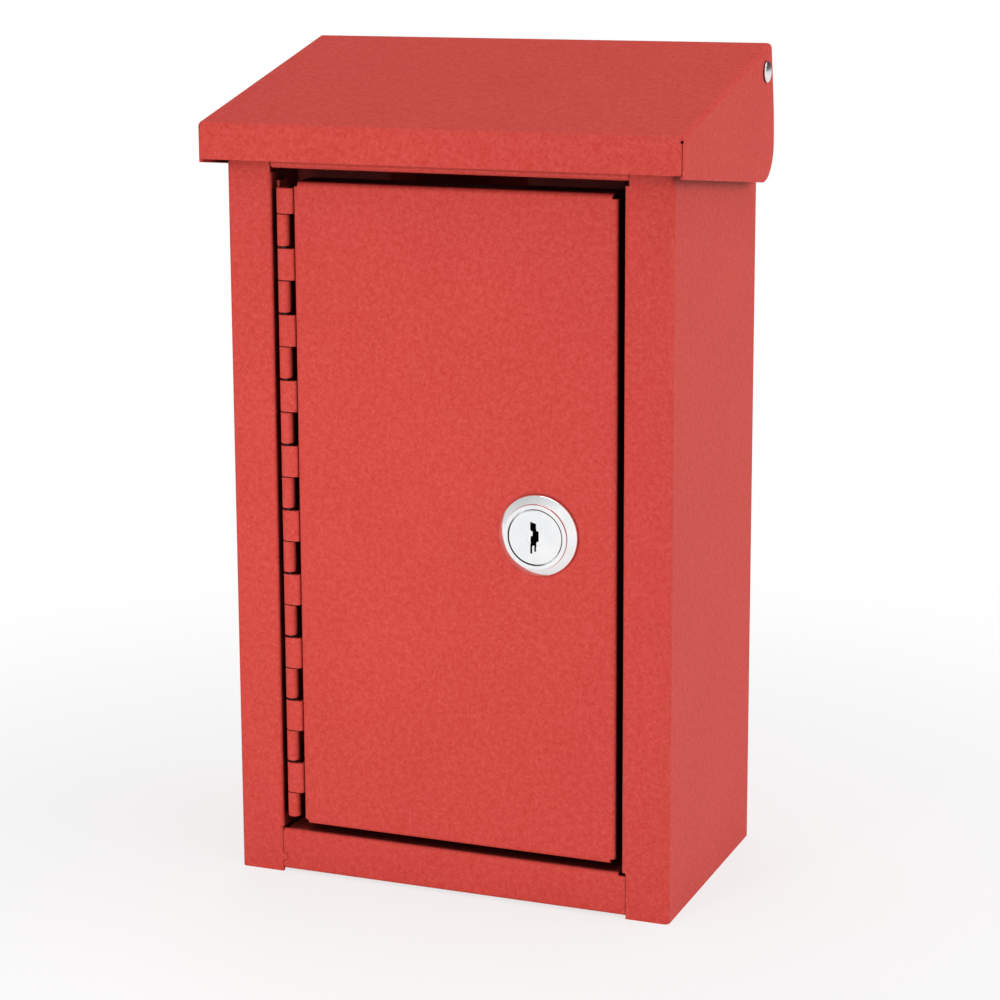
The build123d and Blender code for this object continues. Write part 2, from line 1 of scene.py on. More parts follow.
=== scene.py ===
from math import cos, pi, radians, sin

import bmesh
import bpy
from mathutils import Matrix, Vector


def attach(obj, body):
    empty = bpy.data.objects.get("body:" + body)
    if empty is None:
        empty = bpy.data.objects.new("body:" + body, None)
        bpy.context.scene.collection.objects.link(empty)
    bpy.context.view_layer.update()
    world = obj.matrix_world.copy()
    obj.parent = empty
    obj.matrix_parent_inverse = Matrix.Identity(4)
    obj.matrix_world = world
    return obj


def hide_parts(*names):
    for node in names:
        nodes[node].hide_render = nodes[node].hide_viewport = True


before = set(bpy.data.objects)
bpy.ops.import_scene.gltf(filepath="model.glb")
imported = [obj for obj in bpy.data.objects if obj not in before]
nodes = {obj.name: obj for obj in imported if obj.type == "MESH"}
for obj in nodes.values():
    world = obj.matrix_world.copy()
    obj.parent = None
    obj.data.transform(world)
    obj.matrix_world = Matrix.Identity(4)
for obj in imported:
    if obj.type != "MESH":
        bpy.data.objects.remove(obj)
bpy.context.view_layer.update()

MM = 0.001


# ---------------------------------------------------------------- cabinet
# The cabinet is three pieces of 1.2 mm sheet steel: a wrap folded round the back, sides and stiles, a floor
# pan with the bottom rail, and a deck with the drop slot. They are spot welded and coated together in red
# powder paint, which melts into a satin skin with a fine pebbled grain. The shade down in its gaps is
# painted into its colour as a near-black red.

RED = (0.750, 0.104, 0.084)
CLOUDED_RED = (0.726, 0.097, 0.078)            # patches where the coat came out a shade deeper
PEBBLES = (                                    # size across in mm, and the tint of the dips between them
    (1.8, (0.93, 0.74, 0.72)),
    (0.8, (0.91, 0.70, 0.68)),
)
# Painted shade: the near-black reds painted into gaps, and the height over the floor across which that
# painted shade fades in.
GAP_SHADE_TONES = ((0.012, 0.001, 0.001), (0.025, 0.001, 0.001))
FOOT = (0.004, 0.015)                          # metres over the floor across which its shading fades in


def finish(name):
    """A new material: its node tree, its shader and the place on the piece that it is painted by."""
    material = bpy.data.materials.new(name)
    material.use_nodes = True
    tree = material.node_tree
    place = tree.nodes.new("ShaderNodeTexCoord").outputs["Object"]
    return material, tree, tree.nodes["Principled BSDF"], place


def cloud(tree, place, size_mm, detail=2.0):
    """Noise whose grains are about size_mm across."""
    node = tree.nodes.new("ShaderNodeTexNoise")
    node.inputs["Scale"].default_value = 1 / (size_mm * MM)
    node.inputs["Detail"].default_value = detail
    tree.links.new(place, node.inputs["Vector"])
    return node.outputs["Fac"]


def ramp(tree, value, low, high, start=0.3, end=0.7):
    """Colour or grey that runs from low to high as value goes from start to end."""
    node = tree.nodes.new("ShaderNodeValToRGB")
    stops = node.color_ramp.elements
    for stop, position, colour in ((stops[0], start, low), (stops[1], end, high)):
        stop.position = position
        stop.color = (*colour, 1) if isinstance(colour, tuple) else (colour, colour, colour, 1)
    tree.links.new(value, node.inputs["Fac"])
    return node.outputs["Color"]


def mixed(tree, blend, share, first, second):
    """Two colours mixed; share is a number or an output."""
    node = tree.nodes.new("ShaderNodeMix")
    node.data_type = "RGBA"
    node.blend_type = blend
    if isinstance(share, float):
        node.inputs["Factor"].default_value = share
    else:
        tree.links.new(share, node.inputs["Factor"])
    tree.links.new(first, node.inputs["A"])
    tree.links.new(second, node.inputs["B"])
    return node.outputs["Result"]


def grain(tree, shader, edge_mm, *bumps):
    """Edges eased by edge_mm, with bumps of (height, depth in mm, strength) over them."""
    eased = tree.nodes.new("ShaderNodeBevel")
    eased.samples = 4
    eased.inputs["Radius"].default_value = edge_mm * MM
    normal = eased.outputs["Normal"]
    for height, depth_mm, strength in bumps:
        bump = tree.nodes.new("ShaderNodeBump")
        bump.inputs["Distance"].default_value = depth_mm * MM
        bump.inputs["Strength"].default_value = strength
        tree.links.new(height, bump.inputs["Height"])
        tree.links.new(normal, bump.inputs["Normal"])
        normal = bump.outputs["Normal"]
    tree.links.new(normal, shader.inputs["Normal"])


def gap_shade_mask(tree, reach_mm, dark_end, full):
    """Mask for painted shade: 1 on open faces, 0 down in gaps, ramped from dark_end to full by the open
    share within reach_mm.
    """
    node = tree.nodes.new("ShaderNodeAmbientOcclusion")
    node.samples = 4
    node.inputs["Distance"].default_value = reach_mm * MM
    return ramp(tree, node.outputs["AO"], 0.0, 1.0, dark_end, full)


def powder_coat(name, reach_mm, dark_end, full):
    """Red powder paint with shade painted near black into its gaps, except the gap between the cabinet and
    its floor.
    """
    material, tree, paint, place = finish(name)
    red = ramp(tree, cloud(tree, place, 40), CLOUDED_RED, RED)
    for size_mm, dip in PEBBLES:
        tint = ramp(tree, cloud(tree, place, size_mm), dip, 1.0, 0.32, 0.68)
        red = mixed(tree, "MULTIPLY", 1.0, red, tint)
    # Painted shade: the near-black red that the gaps are painted with.
    gap = ramp(tree, cloud(tree, place, 5), *GAP_SHADE_TONES)
    height = tree.nodes.new("ShaderNodeSeparateXYZ")
    tree.links.new(place, height.inputs["Vector"])
    by_the_floor = ramp(tree, height.outputs["Z"], 1.0, 0.0, *FOOT)
    unshaded = mixed(tree, "LIGHTEN", 1.0, gap_shade_mask(tree, reach_mm, dark_end, full), by_the_floor)
    tree.links.new(mixed(tree, "MIX", unshaded, gap, red), paint.inputs["Base Color"])
    tree.links.new(ramp(tree, cloud(tree, place, 0.9), 0.54, 0.66), paint.inputs["Roughness"])
    paint.inputs["Specular IOR Level"].default_value = 0.15
    grain(tree, paint, 0.3, (cloud(tree, place, 1.4), 0.07, 0.4), (cloud(tree, place, 0.6, 1), 0.05, 0.35))
    return material


def coat(material, slot, *names):
    """Gives CAD nodes their finish."""
    for name in names:
        nodes[name].data.materials.clear()
        nodes[name].data.materials.append(material)


# Its colour carries painted shade in gaps, judged by how open each place is within 14 mm.
red_paint = powder_coat("red_powder_coat", reach_mm=14, dark_end=0.30, full=0.74)
coat(red_paint, "red_sheet", "body_wrap", "bottom_pan", "top_plate")


# ---------------------------------------------------------------- hood
# The hood is one more sheet of the same steel, folded down at its front and both sides, with the two front
# corners left as open mitred seams. It is coated before it is riveted on.

coat(red_paint, "red_hood", "lid_hood")


# ---------------------------------------------------------------- door
# The door is a shallow pan of the same sheet with its four edges turned back. It is coated like the
# cabinet, and its front is left plain.

coat(red_paint, "red_door", "door_panel")


# ---------------------------------------------------------------- door hinge
# A continuous hinge: two steel leaves, rolled knuckle by knuckle round a drawn steel wire. One leaf is
# welded inside the jamb and its strips step in to the wire. The other is welded outside the door's edge and
# its strips bend over to it. Both are coated with the box.

WIRE = (-55.0, -37.7)              # the hinge's wire, seen from above
EYE_R = 1.66                       # middle of the strip that is rolled round it
STRIP = 0.96
KNUCKLES = 20
KNUCKLE_PITCH = 10.56
END_KNUCKLE = 8.6
HINGE_FOOT = 18.8
RESTING_GAP = 0.3                  # over a knuckle of the cabinet's leaf, which carries the one above
WIDE_GAP = 0.8                     # over a knuckle of the door's leaf
LEAF_THICK = 1.0
LEAF_BACK = -28.7
LEAF_EDGE = 0.12                   # eased edges of the leaves and strips
CABINET_LEAF = (-58.4, -35.3, 18.2, 227.5)     # left face, front edge, lower and upper end
DOOR_LEAF = (-51.8, -35.7, 20.0, 225.7)
CABINET_STEP = [                   # how a strip steps from that leaf in to the wire, seen from above
    (-57.9, -34.0), (-57.9, -34.8), (-57.75, -35.4), (-56.95, -36.6), (-56.72, -37.2),
]
DOOR_STRIP_X = -51.3
DOOR_STRIP_BACK = -34.6
DOOR_BEND = (-52.5, -38.16)        # centre of the bend over from the door's edge
DOOR_BEND_R = 1.2
SHARP = 32                         # degrees between faces above which an edge stays sharp
WELD = 1e-7                        # metres within which two points are one


def crisp(mesh):
    """Welds a mesh, turns its faces outward and shades them smooth between its sharp edges."""
    shape = bmesh.new()
    shape.from_mesh(mesh)
    bmesh.ops.remove_doubles(shape, verts=shape.verts, dist=WELD)
    bmesh.ops.dissolve_degenerate(shape, edges=shape.edges, dist=WELD)
    bmesh.ops.recalc_face_normals(shape, faces=shape.faces)
    for face in shape.faces:
        face.smooth = True
    for edge in shape.edges:
        edge.smooth = edge.calc_face_angle(0) < radians(SHARP)
    shape.to_mesh(mesh)
    shape.free()


def shaped(name, solids, capped=False):
    """Piece of solids through rows of points; capped ones are closed by their first and last rows."""
    points = []
    faces = []
    for rows in solids:
        start = len(points)
        count = len(rows[0])
        points += [tuple(point) for row in rows for point in row]
        for here in range(len(rows) - capped):
            first = start + here * count
            second = start + (here + 1) % len(rows) * count
            for step in range(count):
                after = (step + 1) % count
                faces.append((first + step, second + step, second + after, first + after))
        if capped:
            faces.append(tuple(range(start, start + count)))
            faces.append(tuple(range(len(points) - count, len(points)))[::-1])
    mesh = bpy.data.meshes.new(name)
    mesh.from_pydata(points, [], faces)
    crisp(mesh)
    piece = bpy.data.objects.new(name, mesh)
    bpy.context.scene.collection.objects.link(piece)
    return piece


def bend(centre, radius, start, end, steps):
    """Points round part of a circle seen from above, its angles in degrees from right to back."""
    turns = [radians(start + (end - start) * step / steps) for step in range(steps + 1)]
    return [(centre[0] + radius * cos(turn), centre[1] + radius * sin(turn)) for turn in turns]


def strip_rows(line, low, high):
    """Strip of sheet that follows a line seen from above, with its edges eased."""
    rows = []
    for z, ease in ((low, LEAF_EDGE), (low + LEAF_EDGE, 0.0), (high - LEAF_EDGE, 0.0), (high, LEAF_EDGE)):
        near, far = [], []
        for here in range(len(line)):
            before = Vector(line[max(here - 1, 0)])
            after = Vector(line[min(here + 1, len(line) - 1)])
            along = (after - before).normalized()
            across = Vector((-along.y, along.x)) * (STRIP / 2 - ease)
            near.append(Vector(line[here]) + across)
            far.append(Vector(line[here]) - across)
        rows.append([(x * MM, y * MM, z * MM) for x, y in near + far[::-1]])
    return rows


def leaf_rows(left, front, low, high):
    """Flat leaf with eased edges, standing front to back."""
    right = left + LEAF_THICK
    rows = []
    for x, ease in ((left, LEAF_EDGE), (left + LEAF_EDGE, 0), (right - LEAF_EDGE, 0), (right, LEAF_EDGE)):
        near, far, foot, top = front + ease, LEAF_BACK - ease, low + ease, high - ease
        corners = ((near, foot), (far, foot), (far, top), (near, top))
        rows.append([(x * MM, y * MM, z * MM) for y, z in corners])
    return rows


def knuckle_span(index):
    """Lower and upper end of a knuckle, counted from the foot."""
    low = HINGE_FOOT + (END_KNUCKLE + (index - 1) * KNUCKLE_PITCH if index else 0)
    high = low + (END_KNUCKLE if index in (0, KNUCKLES - 1) else KNUCKLE_PITCH)
    below, above = (WIDE_GAP, RESTING_GAP) if index % 2 == 0 else (RESTING_GAP, WIDE_GAP)
    return low + below / 2, high - above / 2


cabinet_strip = CABINET_STEP + bend(WIRE, EYE_R, 180, 455, 26)
door_strip = [
    (DOOR_STRIP_X, DOOR_STRIP_BACK), (DOOR_STRIP_X, DOOR_BEND[1] + 0.01),
    *bend(DOOR_BEND, DOOR_BEND_R, 0, -90, 8)[1:], *bend(WIRE, EYE_R, -90, -372, 26),
]
# The hinge's coat carries stronger painted shade in the gaps round its knuckles.
hinge_paint = powder_coat("hinge_powder_coat", reach_mm=9, dark_end=0.12, full=0.50)
hinge_leaves = (
    ("cabinet_hinge_leaf", "box", "frame_hinge_leaf", 0, cabinet_strip, CABINET_LEAF),
    ("door_edge_hinge_leaf", "door", "door_hinge_leaf", 1, door_strip, DOOR_LEAF),
)
for name, body, node, first, strip, leaf in hinge_leaves:
    rolled = [strip_rows(strip, *knuckle_span(index)) for index in range(first, KNUCKLES, 2)]
    piece = shaped(name, [leaf_rows(*leaf)], capped=True)
    knuckles = shaped(f"{name}_knuckles", rolled, capped=True)
    for part in (piece, knuckles):
        part.data.materials.append(hinge_paint)
        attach(part, body)
        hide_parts(node)


def plated(name, bright, dull, smooth, rough, grain_mm=0.6, edge_mm=0.12):
    """Bare or plated metal: a slightly cloudy tone, and a fine grain in its gloss."""
    material, tree, metal, place = finish(name)
    metal.inputs["Metallic"].default_value = 1.0
    tree.links.new(ramp(tree, cloud(tree, place, 3.0, 3), dull, bright), metal.inputs["Base Color"])
    tree.links.new(ramp(tree, cloud(tree, place, grain_mm, 3), smooth, rough), metal.inputs["Roughness"])
    grain(tree, metal, edge_mm, (cloud(tree, place, grain_mm), 0.02, 0.2))
    return material


# The pin is steel, given a near-black tone that paints the shade in the knuckle gaps.
shade_dark_pin_steel = plated("shade_dark_pin_steel", (0.10, 0.075, 0.07), (0.05, 0.035, 0.03), 0.45, 0.6)
coat(shade_dark_pin_steel, "hinge_pin_steel", "hinge_pin")


# ---------------------------------------------------------------- hood pivots
# At each rear corner a zinc-plated rivet passes through the hood's cheek, a nylon sleeve, the cabinet's
# side and a washer. Its head outside is a smooth low dome, and its end is set to a button inside.

PIVOT = (0.0, 0.0381, 0.2584)
RIVET_R = 2.0
HEAD_R = 3.4
HEAD_RISE = 1.0
HEAD_RIM = 0.3
HEAD_FRONT = 79.3                  # where the head's underside sits, out from the middle of the box
HEAD_EASE = 0.1
SET_R = 3.0                        # the button that its end is set to
SET_FRONT = 71.1
SET_RISE = 1.6
SET_RIM = 0.4


def arc(centre_r, centre_y, radius_r, radius_y, start, end, steps):
    """Points (radius, height) of a quarter ellipse or part of one, its angles in degrees."""
    points = []
    for step in range(steps + 1):
        angle = radians(start + (end - start) * step / steps)
        points.append((centre_r + radius_r * cos(angle), centre_y + radius_y * sin(angle)))
    return points


def turned_x(name, profile, side, segments=64):
    """Piece turned about the pivots' axis, from (radius, distance out from the middle of the box) in mm."""
    rows = []
    for turn in range(segments):
        angle = 2 * pi * turn / segments
        y, z = cos(angle) * MM, sin(angle) * MM
        rows.append([(side * x * MM, PIVOT[1] + r * y, PIVOT[2] + r * z) for r, x in profile])
    return shaped(name, [rows])


zinc = plated("bright_zinc", (0.86, 0.87, 0.88), (0.74, 0.75, 0.77), 0.16, 0.30)
for side, hand in ((-1, "left"), (1, "right")):
    set_end = arc(0, SET_FRONT - SET_RIM, SET_R, SET_RIM - SET_RISE, 90, 0, 10)
    head = arc(0, HEAD_FRONT + HEAD_RIM, HEAD_R, HEAD_RISE - HEAD_RIM, 0, 90, 14)
    profile = [
        *set_end, (SET_R, SET_FRONT), (RIVET_R, SET_FRONT), (RIVET_R, HEAD_FRONT),
        (HEAD_R - HEAD_EASE, HEAD_FRONT), (HEAD_R, HEAD_FRONT + HEAD_EASE), *head,
    ]
    rivet = turned_x(f"pivot_rivet_{hand}", profile, side)
    rivet.data.materials.append(zinc)
    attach(rivet, "box")
    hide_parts(f"lid_rivet_{hand}")
coat(zinc, "rivet_steel", "rivet_washer_left", "rivet_washer_right")

nylon, tree, shader, place = finish("black_nylon")
black = ramp(tree, cloud(tree, place, 0.8), (0.012, 0.012, 0.013), (0.030, 0.030, 0.031))
tree.links.new(black, shader.inputs["Base Color"])
shader.inputs["Roughness"].default_value = 0.5
grain(tree, shader, 0.15, (cloud(tree, place, 0.5), 0.02, 0.3))
coat(nylon, "spacer_nylon", "lid_spacer_left", "lid_spacer_right")


# ---------------------------------------------------------------- lock housing
# The lock's housing is a zinc casting with bright chrome plate: a sloped bezel outside the door, whose rim
# stands round the plug, and a barrel through the door with a fine thread and two flats that keep it from
# turning.

LOCK = (30.8, -39.9, 121.3)        # where the lock's axis meets the door's face
BEZEL_R = 13.0
BEZEL_EASE = 0.12
SLOPE = [(12.6, -1.34), (10.5, -2.60)]         # outer and inner end of the bezel's slope
RIM_R = 10.3
RIM_FRONT = -3.6
RECESS_R = 8.95
RECESS_FLOOR = -0.8
BORE_R = 6.25
BARREL_R = 9.4
BARREL_END = 14.2
FLAT_X = 8.0
THREAD_PITCH = 1.0
THREAD_DEPTH = 0.45
THREAD_START = 1.0
THREAD_END = 13.9
THREAD_STEPS = 6                   # rows of points along each turn of the thread
HOUSING_STEPS = 120
FLANK = 2.4                        # how steep the thread's flanks are, for its depth over its pitch
CHROME_FADE = 0.5                  # length over which the chrome runs out on a piece that is part bare


def on_lock(r, y, angle):
    """Point at radius r and y behind the door's face, angle turning from right to up."""
    return ((LOCK[0] + r * cos(angle)) * MM, (LOCK[1] + y) * MM, (LOCK[2] + r * sin(angle)) * MM)


def groove(y, angle, pitch, depth):
    """How deep a thread is cut at a place along and round it, in mm."""
    phase = (y / pitch - angle / (2 * pi)) % 1.0
    return depth * min(1.0, FLANK * min(phase, 1 - phase))


def housing_rows():
    """Profile of the bezel and the bores, closed by the barrel's thread and its flats."""
    bezel = [
        (BARREL_R, 0), (BEZEL_R - BEZEL_EASE, 0), (BEZEL_R, -BEZEL_EASE), (BEZEL_R, -0.7),
        (BEZEL_R - 0.06, -0.92), (BEZEL_R - 0.22, -1.12), *SLOPE, (RIM_R + 0.06, -2.70), (RIM_R, -2.82),
        (RIM_R, -3.46), (RIM_R - 0.04, -3.55), (RIM_R - 0.14, RIM_FRONT),
        (RECESS_R + BEZEL_EASE, RIM_FRONT), (RECESS_R, RIM_FRONT + BEZEL_EASE), (RECESS_R, RECESS_FLOOR),
        (BORE_R, RECESS_FLOOR), (BORE_R, BARREL_END), (BARREL_R - THREAD_DEPTH, BARREL_END),
    ]
    steps = round((BARREL_END - THREAD_START) / THREAD_PITCH * THREAD_STEPS)
    rows = []
    for turn in range(HOUSING_STEPS):
        angle = 2 * pi * turn / HOUSING_STEPS
        row = [on_lock(r, y, angle) for r, y in bezel]
        for step in range(steps, -1, -1):
            y = THREAD_START + (THREAD_END - THREAD_START) * step / steps
            r = BARREL_R - groove(y, angle, THREAD_PITCH, THREAD_DEPTH)
            x = max(-FLAT_X, min(FLAT_X, r * cos(angle)))
            row.append(((LOCK[0] + x) * MM, (LOCK[1] + y) * MM, (LOCK[2] + r * sin(angle)) * MM))
        rows.append(row)
    return rows


def chrome_plate(name, dark_behind=None):
    """Bright chrome with a faint ripple, which ends dark_behind mm behind the door's face, if it ends."""
    material, tree, metal, place = finish(name)
    metal.inputs["Metallic"].default_value = 1.0
    tone = ramp(tree, cloud(tree, place, 6), (0.84, 0.85, 0.86), (0.93, 0.93, 0.94))
    if dark_behind is not None:
        depth = tree.nodes.new("ShaderNodeSeparateXYZ")
        tree.links.new(place, depth.inputs["Vector"])
        behind = tree.nodes.new("ShaderNodeMapRange")
        behind.inputs["From Min"].default_value = (LOCK[1] + dark_behind) * MM
        behind.inputs["From Max"].default_value = (LOCK[1] + dark_behind + CHROME_FADE) * MM
        tree.links.new(depth.outputs["Y"], behind.inputs["Value"])
        dark_end = ramp(tree, cloud(tree, place, 1.0), (0.020, 0.018, 0.016), (0.040, 0.036, 0.030))
        tone = mixed(tree, "MIX", behind.outputs["Result"], tone, dark_end)
    tree.links.new(tone, metal.inputs["Base Color"])
    tree.links.new(ramp(tree, cloud(tree, place, 1.5, 3), 0.07, 0.14), metal.inputs["Roughness"])
    grain(tree, metal, 0.12, (cloud(tree, place, 3.0, 1), 0.02, 0.12))
    return material


bezel = shaped("lock_bezel_and_barrel", [housing_rows()])
bezel.data.materials.append(chrome_plate("chrome_plate"))
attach(bezel, "door")
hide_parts("lock_housing")


# ---------------------------------------------------------------- lock plug and wafers
# The plug is chromed on its face only and bare behind it. Five brass wafers lie across it, with a window
# each for the key, and its square end carries the cam.

CHROMED_TO = -3.1                  # just behind the plug's face, which is in front of the door's
coat(chrome_plate("plug_chrome", CHROMED_TO), "lock_chrome", "lock_plug")
# The wafers' brass is given a near-black tone.
dark_brass = plated("dark_brass", (0.10, 0.065, 0.025), (0.05, 0.032, 0.014), 0.4, 0.6, 0.5, 0.08)
coat(dark_brass, "wafer_brass", "lock_wafers")


# ---------------------------------------------------------------- nut and toothed washer
# A thin hexagon nut with chamfered corners clamps the barrel to the door over a toothed washer. Both are
# pressed from steel and zinc plated.

NUT_FLATS = 24.0
NUT_FRONT = 2.0
NUT_BACK = 5.6
NUT_FACE_R = 12.3
NUT_BORE_R = BARREL_R + 0.05
NUT_COUNTERSINK = 0.45
NUT_STEPS = 144
WASHER_MIDDLE = 1.6
WASHER_BORE_R = BARREL_R + 0.1
WASHER_R = 12.0
WASHER_HALF = 0.25                 # half its thickness
WASHER_TEETH = 20
TOOTH_STEPS = 8                    # points round the rim for each tooth and the gap after it
TOOTH_POINTS = 5                   # those of them that are on the tooth
TOOTH_DEPTH = 1.3
TOOTH_BAND = 1.0                   # width of the rim that is bent
TOOTH_TWIST = 0.05                 # how far each step round a tooth is bent out of the washer's plane


def nut_rows():
    """Hexagon whose corners are turned down to a round face, with a countersunk bore."""
    mouth = NUT_BORE_R + NUT_COUNTERSINK
    rows = []
    for turn in range(NUT_STEPS):
        angle = 2 * pi * turn / NUT_STEPS
        edge = NUT_FLATS / 2 / cos((angle + pi / 6) % (pi / 3) - pi / 6)
        face = min(edge, NUT_FACE_R)
        drop = max(0.02, (edge - NUT_FACE_R) * 0.5)
        profile = [
            (mouth, NUT_FRONT), (face, NUT_FRONT), (edge, NUT_FRONT + drop), (edge, NUT_BACK - drop),
            (face, NUT_BACK), (mouth, NUT_BACK), (NUT_BORE_R, NUT_BACK - NUT_COUNTERSINK),
            (NUT_BORE_R, NUT_FRONT + NUT_COUNTERSINK),
        ]
        rows.append([on_lock(r, y, angle) for r, y in profile])
    return rows


def toothed_rows():
    """Flat ring with twisted teeth round its rim."""
    rows = []
    for turn in range(WASHER_TEETH * TOOTH_STEPS):
        angle = 2 * pi * turn / (WASHER_TEETH * TOOTH_STEPS)
        part = turn % TOOTH_STEPS
        tooth = 1 <= part <= TOOTH_POINTS
        edge = WASHER_R if tooth else WASHER_R - TOOTH_DEPTH
        twist = (part - (1 + TOOTH_POINTS) / 2) * TOOTH_TWIST if tooth else 0.0
        front, back = WASHER_MIDDLE - WASHER_HALF, WASHER_MIDDLE + WASHER_HALF
        profile = [
            (WASHER_BORE_R, front), (edge - TOOTH_BAND, front), (edge, front + twist),
            (edge, back + twist), (edge - TOOTH_BAND, back), (WASHER_BORE_R, back),
        ]
        rows.append([on_lock(r, y, angle) for r, y in profile])
    return rows


fastenings = (
    ("lock_hexagon_nut", nut_rows(), "lock_nut"),
    ("lock_toothed_washer", toothed_rows(), "lock_washer"),
)
for name, rows, node in fastenings:
    piece = shaped(name, [rows])
    piece.data.materials.append(zinc)
    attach(piece, "door")
    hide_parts(node)


# ---------------------------------------------------------------- cam and its screw
# A stamped steel cam sits on the plug's square end behind a stop washer. A pan-head screw with a cross
# recess and a spring washer hold it. All are zinc plated.

SCREW_HEAD_FRONT = 19.0
SCREW_HEAD_R = 3.9
SCREW_HEAD_RISE = 2.6
SCREW_HEAD_RIM = 1.2               # straight part of the head, below its dome
SCREW_HEAD_EASE = 0.15
SCREW_R = 1.7
SCREW_END = 12.5
SCREW_POINT = 0.45                 # taper at the end
SCREW_PLAIN = 0.3                  # plain length at each end of its thread
SCREW_PITCH = 0.7
SCREW_DEPTH = 0.35
SCREW_STEPS = 72
SCREW_ROWS = 48
RECESS_WIDE = 2.3                  # the cross, across and through an arm at its mouth
RECESS_THIN = 0.42
RECESS_TAPER = 0.55
RECESS_FROM = 1.0                  # its floor, above the underside of the head
RECESS_DEEP = 2.4


def screw_rows():
    """Pan head over a threaded shank, drawn from the shank's end."""
    dome_from = SCREW_HEAD_FRONT + SCREW_HEAD_RIM
    head = arc(0, dome_from, SCREW_HEAD_R, SCREW_HEAD_RISE - SCREW_HEAD_RIM, 0, 90, 12)
    thread_from = SCREW_END + SCREW_PLAIN
    thread_long = SCREW_HEAD_FRONT - SCREW_END - 2 * SCREW_PLAIN
    rows = []
    for turn in range(SCREW_STEPS):
        angle = 2 * pi * turn / SCREW_STEPS
        profile = [(0, SCREW_END), (SCREW_R - SCREW_POINT, SCREW_END)]
        for step in range(SCREW_ROWS + 1):
            y = thread_from + thread_long * step / SCREW_ROWS
            profile.append((SCREW_R - groove(y, angle, SCREW_PITCH, SCREW_DEPTH), y))
        profile += [
            (SCREW_R, SCREW_HEAD_FRONT), (SCREW_HEAD_R - SCREW_HEAD_EASE, SCREW_HEAD_FRONT),
            (SCREW_HEAD_R, SCREW_HEAD_FRONT + SCREW_HEAD_EASE), *head,
        ]
        rows.append([on_lock(r, y, angle) for r, y in profile])
    return rows


def cross_cutter():
    """Tapered cross, the shape of the driver's tip."""
    shape = bmesh.new()
    floor_y = LOCK[1] + SCREW_HEAD_FRONT + RECESS_FROM
    for wide, thin in ((RECESS_WIDE, RECESS_THIN), (RECESS_THIN, RECESS_WIDE)):
        made = bmesh.ops.create_cube(shape, size=1.0)["verts"]
        for vert in made:
            out = vert.co.y > 0
            taper = 1.0 if out else RECESS_TAPER
            x = (wide * taper if wide > thin else wide) * (1 if vert.co.x > 0 else -1)
            z = (thin * taper if thin > wide else thin) * (1 if vert.co.z > 0 else -1)
            y = floor_y + (RECESS_DEEP if out else 0.0)
            vert.co = Vector(((LOCK[0] + x) * MM, y * MM, (LOCK[2] + z) * MM))
    mesh = bpy.data.meshes.new("cross_cutter")
    bmesh.ops.recalc_face_normals(shape, faces=shape.faces)
    shape.to_mesh(mesh)
    shape.free()
    cutter = bpy.data.objects.new("cross_cutter", mesh)
    bpy.context.scene.collection.objects.link(cutter)
    return cutter


screw = shaped("cam_pan_head_screw", [screw_rows()])
cutter = cross_cutter()
cut = screw.modifiers.new("cross", "BOOLEAN")
cut.object = cutter
cut.solver = "EXACT"
cut.use_self = True
bpy.context.view_layer.update()
recessed = bpy.data.meshes.new_from_object(screw.evaluated_get(bpy.context.evaluated_depsgraph_get()))
screw.modifiers.clear()
screw.data = recessed
crisp(screw.data)
bpy.data.objects.remove(cutter)
screw.data.materials.clear()
screw.data.materials.append(zinc)
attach(screw, "lock")
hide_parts("cam_screw")
coat(zinc, "zinc_steel", "cam_stop_washer", "lock_cam", "cam_spring_washer")


# ---------------------------------------------------------------- floor
# A wide pale sheet under the cabinet. It takes the shadow near the cabinet and runs out to plain white.

FLOOR_SIZE = 8
FLOOR_SHADED = 0.12                # metres from the middle out to which the floor takes most shadow
FLOOR_WHITE = 0.42                 # metres from the middle where it has run out to plain white
FLOOR_LEAST_WHITE = 0.72           # share of plain white that is mixed in at the middle


def worked(tree, operation, first, second):
    """What a maths operation makes of two outputs."""
    node = tree.nodes.new("ShaderNodeMath")
    node.operation = operation
    tree.links.new(first, node.inputs[0])
    tree.links.new(second, node.inputs[1])
    return node.outputs["Value"]


def shader_mix(tree, share, first, second):
    """Two shaders mixed by an output."""
    node = tree.nodes.new("ShaderNodeMixShader")
    tree.links.new(share, node.inputs["Fac"])
    tree.links.new(first, node.inputs[1])
    tree.links.new(second, node.inputs[2])
    return node.outputs["Shader"]


bpy.ops.mesh.primitive_plane_add(size=FLOOR_SIZE, location=(0, 0, 0))
floor = bpy.context.object
floor.name = "floor"
floor_paint, tree, shader, place = finish("pale_floor")
floor.data.materials.append(floor_paint)
shader.inputs["Base Color"].default_value = (0.88, 0.88, 0.88, 1)
shader.inputs["Roughness"].default_value = 0.9
shader.inputs["Specular IOR Level"].default_value = 0.0
white = tree.nodes.new("ShaderNodeEmission")
white.inputs["Color"].default_value = (1, 1, 1, 1)
from_middle = tree.nodes.new("ShaderNodeVectorMath")
from_middle.operation = "LENGTH"
tree.links.new(place, from_middle.inputs[0])
white_share = tree.nodes.new("ShaderNodeMapRange")
white_share.interpolation_type = "SMOOTHSTEP"
white_share.inputs["From Min"].default_value = FLOOR_SHADED
white_share.inputs["From Max"].default_value = FLOOR_WHITE
white_share.inputs["To Min"].default_value = FLOOR_LEAST_WHITE
tree.links.new(from_middle.outputs["Value"], white_share.inputs["Value"])
rays = tree.nodes.new("ShaderNodeLightPath").outputs
seen = worked(tree, "MAXIMUM", rays["Is Camera Ray"], rays["Is Glossy Ray"])
seen = worked(tree, "MAXIMUM", seen, rays["Is Transmission Ray"])
share = worked(tree, "MULTIPLY", seen, white_share.outputs["Result"])
blend = shader_mix(tree, share, shader.outputs["BSDF"], white.outputs["Emission"])
